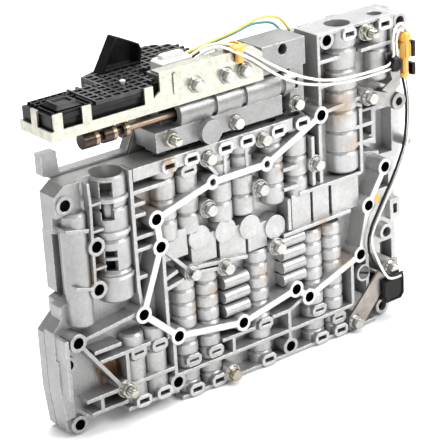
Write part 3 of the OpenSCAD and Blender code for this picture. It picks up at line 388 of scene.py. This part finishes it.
def moulded_plastic(name, colour, rough, dust, shine=0.5):
    s = Shader(name)
    grain = s.noise(0.35, 4)
    patches = s.noise(9, 4)
    pale = tuple(min(1, c + dust) for c in colour)
    tint = s.mix(s.span(patches, 0.45, 0.75), colour, pale)
    rounded, outer_edges = s.edge(0.5)
    # Painted highlight: the outer edges of the moulding are lightened
    tint = s.mix(s.math("MULTIPLY", outer_edges, 0.5), tint, tuple(min(1, c * 1.5 + dust) for c in colour))
    # Painted shade: the colour darkens in corners and between ribs
    s.set(Base_Color=s.mix(s.span(s.hollow(4), 0.3, 0.75), tuple(c * 0.12 for c in colour), tint),
          Roughness=s.span(grain, 0.3, 0.7, rough * 0.8, rough * 1.2), Specular_IOR_Level=shine)
    s.bump(grain, 0.2, 0.08, rounded)
    return s.material


RAIL_Y = at(0, 0, 0).y
MATERIALS = {
    "cast_aluminium": cast_aluminium("cast_aluminium", 0.56, RAIL_Y),
    "fine_cast_aluminium": cast_aluminium("fine_cast_aluminium", 0.37),
    "gasket_paper": moulded_plastic("gasket_paper", grey(0.03), 0.7, 0.02),
    "plate_steel": plated_steel("plate_steel", grey(0.3)),
    "bronzed_steel": turned_steel("bronzed_steel", (0.055, 0.04, 0.031), (0.38, 0.28, 0.21)),
    "anodised_aluminium": plated_steel("anodised_aluminium", grey(0.3)),
    "spring_steel": plated_steel("spring_steel", grey(0.12, 0.03)),
    "zinc_bolts": plated_steel("zinc_bolts", (0.5, 0.495, 0.47), 0.17),
    "yellow_zinc": plated_steel("yellow_zinc", (0.5, 0.49, 0.43), 0.18),
    "zinc_sheet": plated_steel("zinc_sheet", (0.56, 0.55, 0.47), 0.26),
    "module_plastic": moulded_plastic("module_plastic", grey(0.01), 0.3, 0.012, 0.2),
    "black_plastic": moulded_plastic("black_plastic", grey(0.004), 0.26, 0.006, 0.2),
    "white_plastic": moulded_plastic("white_plastic", (0.6, 0.59, 0.56), 0.4, 0.06),
    "amber_plastic": moulded_plastic("amber_plastic", (0.72, 0.36, 0.05), 0.2, 0.06),
    "solenoid_steel": plated_steel("solenoid_steel", grey(0.5)),
    "white_wire": moulded_plastic("white_wire", (0.8, 0.77, 0.7), 0.4, 0.03),
    "black_wire": moulded_plastic("black_wire", grey(0.004), 0.4, 0.004, 0.2),
    "yellow_wire": moulded_plastic("yellow_wire", (0.7, 0.55, 0.1), 0.4, 0.04),
    "teal_wire": moulded_plastic("teal_wire", (0.05, 0.28, 0.3), 0.4, 0.04),
}


# Nodes whose finish differs from the others of their slot
OWN_FINISH = {
    "upper_bracket": plated_steel("arm_steel", (0.36, 0.35, 0.335), 0.34),
    "lower_bracket": plated_steel("oiled_arm_steel", (0.36, 0.325, 0.3), 0.34),
    "rim_bolts": plated_steel("oiled_bolts", (0.5, 0.495, 0.46), 0.18, oily_below=20),
    "module_cover": moulded_plastic("cover_plastic", grey(0.035), 0.3, 0.03, 0.3),
}


def dress_nodes():
    slot_of = {row["node"]: row["material_slot"] for row in frame["record"]["subparts"]}
    for name, piece in NODES.items():
        for place in piece.material_slots:
            place.link = "OBJECT"
            place.material = OWN_FINISH.get(name) or MATERIALS[slot_of[name]]


dress_nodes()

# Wires along the same routes as their solids
WIRE_D = 0.002
WIRES = {
    "sensor_wire_a": ("white_wire", [
        (-4, 18, 243), (8, 14, 249), (17, 4, 251), (24, -5, 248), (36, -5, 240), (49, -4, 231), (65, -4, 221),
        (81, -4, 213), (98, -4, 207), (116, -4, 204), (134, -4, 203), (152, -4, 203), (160, -4, 204),
        (165, -3, 210), (166, -1, 220), (171, 1, 228), (179, 3, 229), (184, 4, 222)]),
    "sensor_wire_b": ("white_wire", [
        (-4, 15, 241), (6, 12, 246), (13, 3, 250), (20, -6, 246), (33, -6, 238), (46, -5, 228), (62, -4, 217),
        (79, -4, 209), (97, -4, 204), (116, -4, 201), (134, -4, 200), (152, -4, 200), (162, -4, 201),
        (168, -3, 208), (169, -1, 218), (173, 1, 224), (177, 3, 225), (180, 4, 222)]),
    "output_wire_black": ("black_wire", [
        (180, 5, 188), (182, 4, 176), (181, 2, 162), (176, -1, 141), (168, -3, 127), (160, -3, 113),
        (140, -3, 83), (136, -3, 68), (139, -3, 56), (145, -4, 46), (151, -5, 40), (158, -7, 38),
        (166, -7, 38), (170, 0, 33.5)]),
    "output_wire_white": ("white_wire", [
        (184, 5, 188), (185, 4, 176), (184, 2, 161), (179, -1, 140), (171, -3, 126), (163, -3, 112),
        (143, -3, 82), (139, -3, 69), (142, -5, 57), (146, -7, 46), (151, -8, 38), (158, -7, 35.5),
        (164, -7, 35.5), (167, 0, 33.5)]),
    "harness_wire_yellow": ("yellow_wire", [
        (-4, 22, 245), (14, 23, 247), (30, 25, 248), (46, 28, 249), (62, 31, 251), (76, 33, 251), (89, 33, 247),
        (98, 33, 236)]),
    "harness_wire_teal": ("teal_wire", [
        (-4, 25, 243), (14, 27, 244), (30, 29, 245), (46, 31, 246), (62, 33, 248), (74, 34, 247), (84, 34, 244),
        (91, 33, 236)]),
}


def smooth_route(points):
    """The route with points between its own, on one smooth curve through them."""
    steps = 2 if len(points) > 10 else 3
    ends = [2 * points[0] - points[1]] + points + [2 * points[-1] - points[-2]]
    route = []
    for p, a, b, q in zip(ends, ends[1:], ends[2:], ends[3:]):
        for i in range(steps):
            t = i / steps
            route.append(0.5 * (2 * a + (b - p) * t + (2 * p - 5 * a + 4 * b - q) * t * t
                                + (3 * a - p - 3 * b + q) * t ** 3))
    return route + [points[-1]]


def make_wire(name, slot_name, points):
    route = smooth_route([at(*p) for p in points])
    curve = bpy.data.curves.new(name + "_tube", "CURVE")
    curve.dimensions = "3D"
    curve.bevel_depth = WIRE_D / 2
    curve.bevel_resolution = 4
    curve.use_fill_caps = True
    spline = curve.splines.new("POLY")
    spline.points.add(len(route) - 1)
    for point, place in zip(spline.points, route):
        point.co = (*place, 1)
    piece = bpy.data.objects.new(name + "_tube", curve)
    SCENE.collection.objects.link(piece)
    curve.materials.append(MATERIALS[slot_name])
    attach(piece, "valve_body")
    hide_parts(name)


for wire_name, (wire_slot, wire_points) in WIRES.items():
    make_wire(wire_name, wire_slot, wire_points)

# Moulded, threaded and pressed detail. A loft is a row of rings of points of the drawing, in millimetres.


def make_piece(name, slot_name, lofts, stands_for=(), sharp=35):
    mesh = bmesh.new()
    for rings in lofts:
        rows = [[mesh.verts.new(at(*p)) for p in ring] for ring in rings]
        for low, high in zip(rows, rows[1:]):
            for i in range(len(low)):
                mesh.faces.new((low[i - 1], low[i], high[i], high[i - 1]))
        mesh.faces.new(rows[0])
        mesh.faces.new(rows[-1])
    bmesh.ops.recalc_face_normals(mesh, faces=mesh.faces)
    data = bpy.data.meshes.new(name)
    mesh.to_mesh(data)
    data.shade_smooth()
    data.set_sharp_from_angle(angle=math.radians(sharp))
    data.materials.append(MATERIALS[slot_name])
    piece = bpy.data.objects.new(name, data)
    SCENE.collection.objects.link(piece)
    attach(piece, "valve_body")
    for node in stands_for:
        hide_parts(node)
    return piece


def circle(x, z, y, radius, sides=28):
    turn = math.tau / sides
    return [(x + radius * math.cos(i * turn), y, z + radius * math.sin(i * turn)) for i in range(sides)]


def block_ring(low, high, z, inset=0.0, corner=1.0):
    """Level ring of a block with cut corners."""
    (x0, y0), (x1, y1) = (low[0] + inset, low[1] + inset), (high[0] - inset, high[1] - inset)
    c = corner
    return [(x, y, z) for x, y in (
        (x0 + c, y0), (x1 - c, y0), (x1, y0 + c), (x1, y1 - c), (x1 - c, y1), (x0 + c, y1), (x0, y1 - c),
        (x0, y0 + c))]


def face_ring(outline, y, inset=0.0):
    """Upright ring of an outline given by X and Z, drawn in towards its middle."""
    middle = [sum(p[i] for p in outline) / len(outline) for i in (0, 1)]
    size = max(math.dist(p, middle) for p in outline)
    keep = 1 - inset / size
    return [(middle[0] + (x - middle[0]) * keep, y, middle[1] + (z - middle[1]) * keep) for x, z in outline]


def thread(x, z, start, end, core=3.02, crest=0.3, pitch=1.0, sides=28):
    """Screw thread round a stud, from start to end along Y, with a cut tip."""
    rings = []
    steps = round((start - end) / 0.2)
    for k in range(steps + 1):
        y = start - (start - end) * k / steps
        ring = []
        for i in range(sides):
            turn = i / sides
            wave = abs(((y / pitch + turn) % 1) * 2 - 1)
            fade = min(1, (steps - k) / 4)
            angle = turn * math.tau
            radius = core + crest * wave * fade
            ring.append((x + radius * math.cos(angle), y, z + radius * math.sin(angle)))
        rings.append(ring)
    return rings + [circle(x, z, end - 0.3, core * 0.85, sides)]


STUDS = [(-85, 27, 2), (143, 231, 2), (-34, 197, 3)]
make_piece("stud_threads", "yellow_zinc", [thread(x, z, seat - 4.6, seat - 11.05) for x, z, seat in STUDS])

SWITCH = [(-57, 238), (-24, 238), (-22, 247), (-24, 252), (-39, 259.4), (-43, 261)]
make_piece("switch_cowl", "black_plastic", [[
    face_ring(SWITCH, 54), face_ring(SWITCH, 45.4), face_ring(SWITCH, 45, 0.5), face_ring(SWITCH, 45, 3.5),
    face_ring(SWITCH, 51, 4.5)]], ["position_switch"])

BLOCK = ((-119, 4), (-99, 23))
make_piece("connector_block", "black_plastic", [[
    block_ring(*BLOCK, 235.6), block_ring(*BLOCK, 238), block_ring(*BLOCK, 239.8, 1.6, 1.6),
    block_ring(*BLOCK, 240.6, 2.4, 1.6), block_ring(*BLOCK, 240.6, 4.4, 1.4), block_ring(*BLOCK, 239.6, 4.8, 1.4)]],
    ["module_connector"])

LOCK = ((-30, 12), (-4, 26))
make_piece("harness_lock", "white_plastic", [[
    block_ring(*LOCK, 238), block_ring(*LOCK, 245.4), block_ring(*LOCK, 247, 1.4), block_ring(*LOCK, 247, 3.6),
    block_ring(*LOCK, 249.4, 4), block_ring(*LOCK, 250, 4.8)]], ["connector_lock"])


def plug_ring(z, wide, deep, shift=0.0, middle=(182, 4.5)):
    low = (middle[0] + shift - wide / 2, middle[1] - deep / 2)
    return block_ring(low, (low[0] + wide, low[1] + deep), z, 0, min(wide, deep) * 0.27)


PLUG = [
    (188, 8, 7, -1), (190.4, 8, 7, -1), (191, 5.4, 6, 0), (201.5, 5.4, 6, 0), (203, 9.4, 9, 0), (213.6, 9.4, 9, 0),
    (214.4, 7.4, 7.4, 0), (215.4, 7.4, 7.4, 0), (216.2, 10, 9.4, 0), (219.6, 10, 9.4, 0), (221.4, 7.6, 7.4, 0),
    (222, 4, 4, 0)]
PLUG_RIBS = [((179.4, -0.6), (180.6, 1)), ((183.2, -0.6), (184.4, 1)), ((176.7, 2.6), (178, 3.8))]
make_piece("sensor_plug", "amber_plastic", [[plug_ring(*row) for row in PLUG]] + [
    [block_ring(low, high, 203.6, 0, 0.3), block_ring(low, high, 213, 0, 0.3)] for low, high in PLUG_RIBS],
    ["sensor_connector"])

GROMMET = [(159, 203), (162, 208), (166, 209), (170, 205.5), (170, 199), (166, 197), (161.5, 198)]
make_piece("grommet_clamp", "black_plastic", [[
    face_ring(GROMMET, 0.4), face_ring(GROMMET, -5.4), face_ring(GROMMET, -7, 1.2), face_ring(GROMMET, -7, 3),
    face_ring(GROMMET, -6.4, 3.3)]], ["wire_grommet"])

SENSOR = [(150.5, 20), (154, 14), (168, 14), (171.5, 18), (171.5, 33.5), (150.5, 33.5)]
make_piece("sensor_case", "black_plastic", [[
    face_ring(SENSOR, 5), face_ring(SENSOR, -2.6), face_ring(SENSOR, -4, 1.6), face_ring(SENSOR, -4, 3.4),
    face_ring(SENSOR, -3, 3.8)],
    [circle(161, 23.8, y, r) for y, r in ((4.8, 7), (20, 7), (20.6, 6.5), (22, 6.5))]], ["speed_sensor"])

HOOK = ((18, -6), (28, 8))
HOOK_LEG = ((21, -6), (26, -1.6))
CLIP_STEPS = [(17, 3.2), (17.6, 4), (19.4, 4), (20, 3), (22, 3)]
make_piece("harness_clips", "amber_plastic", [
    [block_ring(*HOOK, 246), block_ring(*HOOK, 249.4), block_ring(*HOOK, 251, 1.6), block_ring(*HOOK, 251, 3),
     block_ring(*HOOK, 250, 3.2)],
    [block_ring(*HOOK_LEG, 238, 0.6, 0.4), block_ring(*HOOK_LEG, 239, 0, 0.6), block_ring(*HOOK_LEG, 246, 0, 0.6)],
    [circle(163, 92, y, r) for y, r in CLIP_STEPS]], ["wire_clips"])

RIB = [(-31.4, 229), (-30, 228), (-28.6, 229), (-28.6, 243), (-30, 244), (-31.4, 243)]
make_piece("bracket_bead", "zinc_sheet", [[face_ring(RIB, -1.5), face_ring(RIB, -2.2), face_ring(RIB, -2.6, 0.5)]])

# Cast ribs round the accumulator's barrel and across the column beside it
BARREL_X, BARREL_Y, BARREL_R = -80, 14, 13.1


def barrel_rib(z, rise=1.6, half=1.3, steps=24):
    """Rib over the front half of the barrel, with a sloping foot on both sides."""
    rings = []
    for k in range(steps + 1):
        turn = math.pi * (1 + k / steps)
        rings.append([(BARREL_X + r * math.cos(turn), BARREL_Y + r * math.sin(turn), z + side) for r, side in (
            (BARREL_R - 0.3, -half - 0.7), (BARREL_R + rise, -half), (BARREL_R + rise, half),
            (BARREL_R - 0.3, half + 0.7))])
    return rings


COLUMN_RIBS = [
    [(-118, 114.4), (-103, 109.6), (-103, 107.2), (-118, 112)],
    [(-103, 184), (-101, 184), (-100.2, 168), (-101, 143), (-103, 143), (-102.2, 168)],
    [(-103, 134), (-101, 134), (-101.6, 111), (-103.6, 111)]]
BARREL_LINKS = [[(-101.4, z + 0.9), (-91, z + 0.9), (-91, z - 0.9), (-101.4, z - 0.9)] for z in (167, 148, 121)]
make_piece("column_ribs", "cast_aluminium", [barrel_rib(z) for z in (167, 143, 110.5)] + [
    [face_ring(rib, 8 + deep), face_ring(rib, 2.4 + deep), face_ring(rib, 1.8 + deep, 0.5)]
    for deep, group in ((0, COLUMN_RIBS), (2, BARREL_LINKS)) for rib in group])

# Fine ribs and posts between the bars of the module's cover. Each is given by two corners in X and Y, and the ribs of
# the wing end at its slanted edge.
FINE_RIB = 0.9
WING_RIBS = [((x, 36), (x + FINE_RIB, 48 + (x + 70) * 0.36)) for x in range(-63, 0, 7)]
BODY_RIBS = [((x, 3), (x + FINE_RIB, 33)) for x in range(-87, -52, 14)]
END_RIBS = [((-122, y), (-92, y + FINE_RIB)) for y in (2, 25, 30, 34)]
END_RIBS += [((x, 25), (x + FINE_RIB, 34.5)) for x in range(-121, -92, 5)]
END_RIBS += [((x, 2), (x + FINE_RIB, 22)) for x in (-122, -97, -93)]
POSTS = [((x, y), (x + 3, y + 4)) for x, y in (
    (-82, 8), (-68, 20), (-54, 26), (-75, 26), (-61, 39), (-47, 51), (-33, 38), (-19, 57), (-5, 45), (9, 38),
    (-26, 45), (2, 56), (-54, 45))]
make_piece("cover_ribs", "module_plastic", [
    [block_ring(low, high, 235.6, 0, 0.2), block_ring(low, high, 237.4, 0, 0.2)]
    for low, high in WING_RIBS + BODY_RIBS + END_RIBS] + [
    [block_ring(low, high, 235.6, 0, 0.5), block_ring(low, high, 238.4, 0, 0.5), block_ring(low, high, 239, 0.5, 0.4)]
    for low, high in POSTS])
PIN = [(235.6, 1.4), (239, 1.4), (239.4, 2), (240.4, 2), (240.9, 1.2)]
make_piece("cover_pin", "white_plastic", [[[(x, z, y) for x, y, z in circle(-58, 18, h, r, 16)] for h, r in PIN]])

# Coil springs, built to fill the boxes of the spring nodes they stand for
SPRINGS_BELOW = ("clutch_pressure", "line_relief", "pilot", "pressure_regulator", "converter")
SPRINGS_ABOVE = ("direct_clutch", "reverse_clutch", "brake")
SPOOL_WIRE, PISTON_WIRE = 0.0012, 0.0016


def make_spring(name, turns, wire, steps=20, sides=8):
    low, high = (Vector(corner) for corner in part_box(name + "_spring"))
    middle = (low + high) / 2
    coil = (high.x - low.x) / 2 - wire / 2
    climb = high.z - low.z - wire
    rings = []
    for k in range(turns * steps + 1):
        turn = math.tau * k / steps
        ring = []
        for i in range(sides):
            roll = math.tau * i / sides
            reach = coil + wire / 2 * math.cos(roll)
            rise = low.z + wire / 2 * (1 + math.sin(roll)) + climb * k / (turns * steps)
            place = Vector((middle.x + reach * math.cos(turn), middle.y + reach * math.sin(turn), rise))
            ring.append(place / MM + MIDDLE)
        rings.append(ring)
    piece = make_piece(name + "_coil", "spring_steel", [rings], [name + "_spring"])
    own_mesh(piece)


for spring in SPRINGS_BELOW:
    make_spring(spring, 6, SPOOL_WIRE)
for spring in SPRINGS_ABOVE:
    make_spring(spring, 4, SPOOL_WIRE)
make_spring("accumulator", 7, PISTON_WIRE)

# Floor and light
FLOOR_SIZE = 6
# Sines of elevation, and the strengths of the sky at them
SKY_HEIGHTS, SKY_STRENGTHS = (-0.1, 0.9), (0.14, 0.66)
# Place, size and power of each soft box
LIGHTS = {
    "top": ((0.35, 0.3, 1.8), (1.6, 1.6), 56),
    "key": ((1.0, -1.1, 1.1), (0.8, 0.8), 24),
    "fill": ((-0.5, -1.6, 0.55), (1.4, 0.9), 7),
    "side": ((-1.4, -0.6, 0.8), (0.5, 0.9), 5),
    "back": ((1.2, 1.65, 1.15), (1.6, 1.0), 5),
}
LIGHT_AIM = Vector((0, 0, 0.12))


def make_floor():
    bpy.ops.mesh.primitive_plane_add(size=FLOOR_SIZE, location=(0, 0, CAD_BOX[0][2]))
    floor = bpy.context.object
    floor.name = "floor"
    s = Shader("floor_paper")
    s.set(Base_Color=(0.9, 0.9, 0.9, 1), Roughness=0.9)
    floor.data.materials.append(s.material)


def area_light(name, place, size, watts):
    data = bpy.data.lights.new(name, "AREA")
    data.shape = "RECTANGLE"
    data.size, data.size_y = size
    data.energy = watts
    lamp = bpy.data.objects.new(name, data)
    SCENE.collection.objects.link(lamp)
    lamp.location = place
    lamp.rotation_euler = (LIGHT_AIM - Vector(place)).to_track_quat("-Z", "Y").to_euler()


def make_sky():
    world = bpy.data.worlds.new("studio")
    SCENE.world = world
    world.use_nodes = True
    tree = world.node_tree
    way = tree.nodes.new("ShaderNodeTexCoord").outputs["Generated"]
    split = tree.nodes.new("ShaderNodeSeparateXYZ")
    tree.links.new(way, split.inputs[0])
    height = tree.nodes.new("ShaderNodeMapRange")
    tree.links.new(split.outputs["Z"], height.inputs["Value"])
    for key, number in zip(("From Min", "From Max", "To Min", "To Max"), SKY_HEIGHTS + SKY_STRENGTHS):
        height.inputs[key].default_value = number
    tree.links.new(height.outputs["Result"], tree.nodes["Background"].inputs["Strength"])
    tree.nodes["Background"].inputs["Color"].default_value = (1, 1, 1, 1)


make_floor()
make_sky()
for light_name, light_facts in LIGHTS.items():
    area_light(light_name, *light_facts)
SCENE.view_settings.view_transform = "Standard"
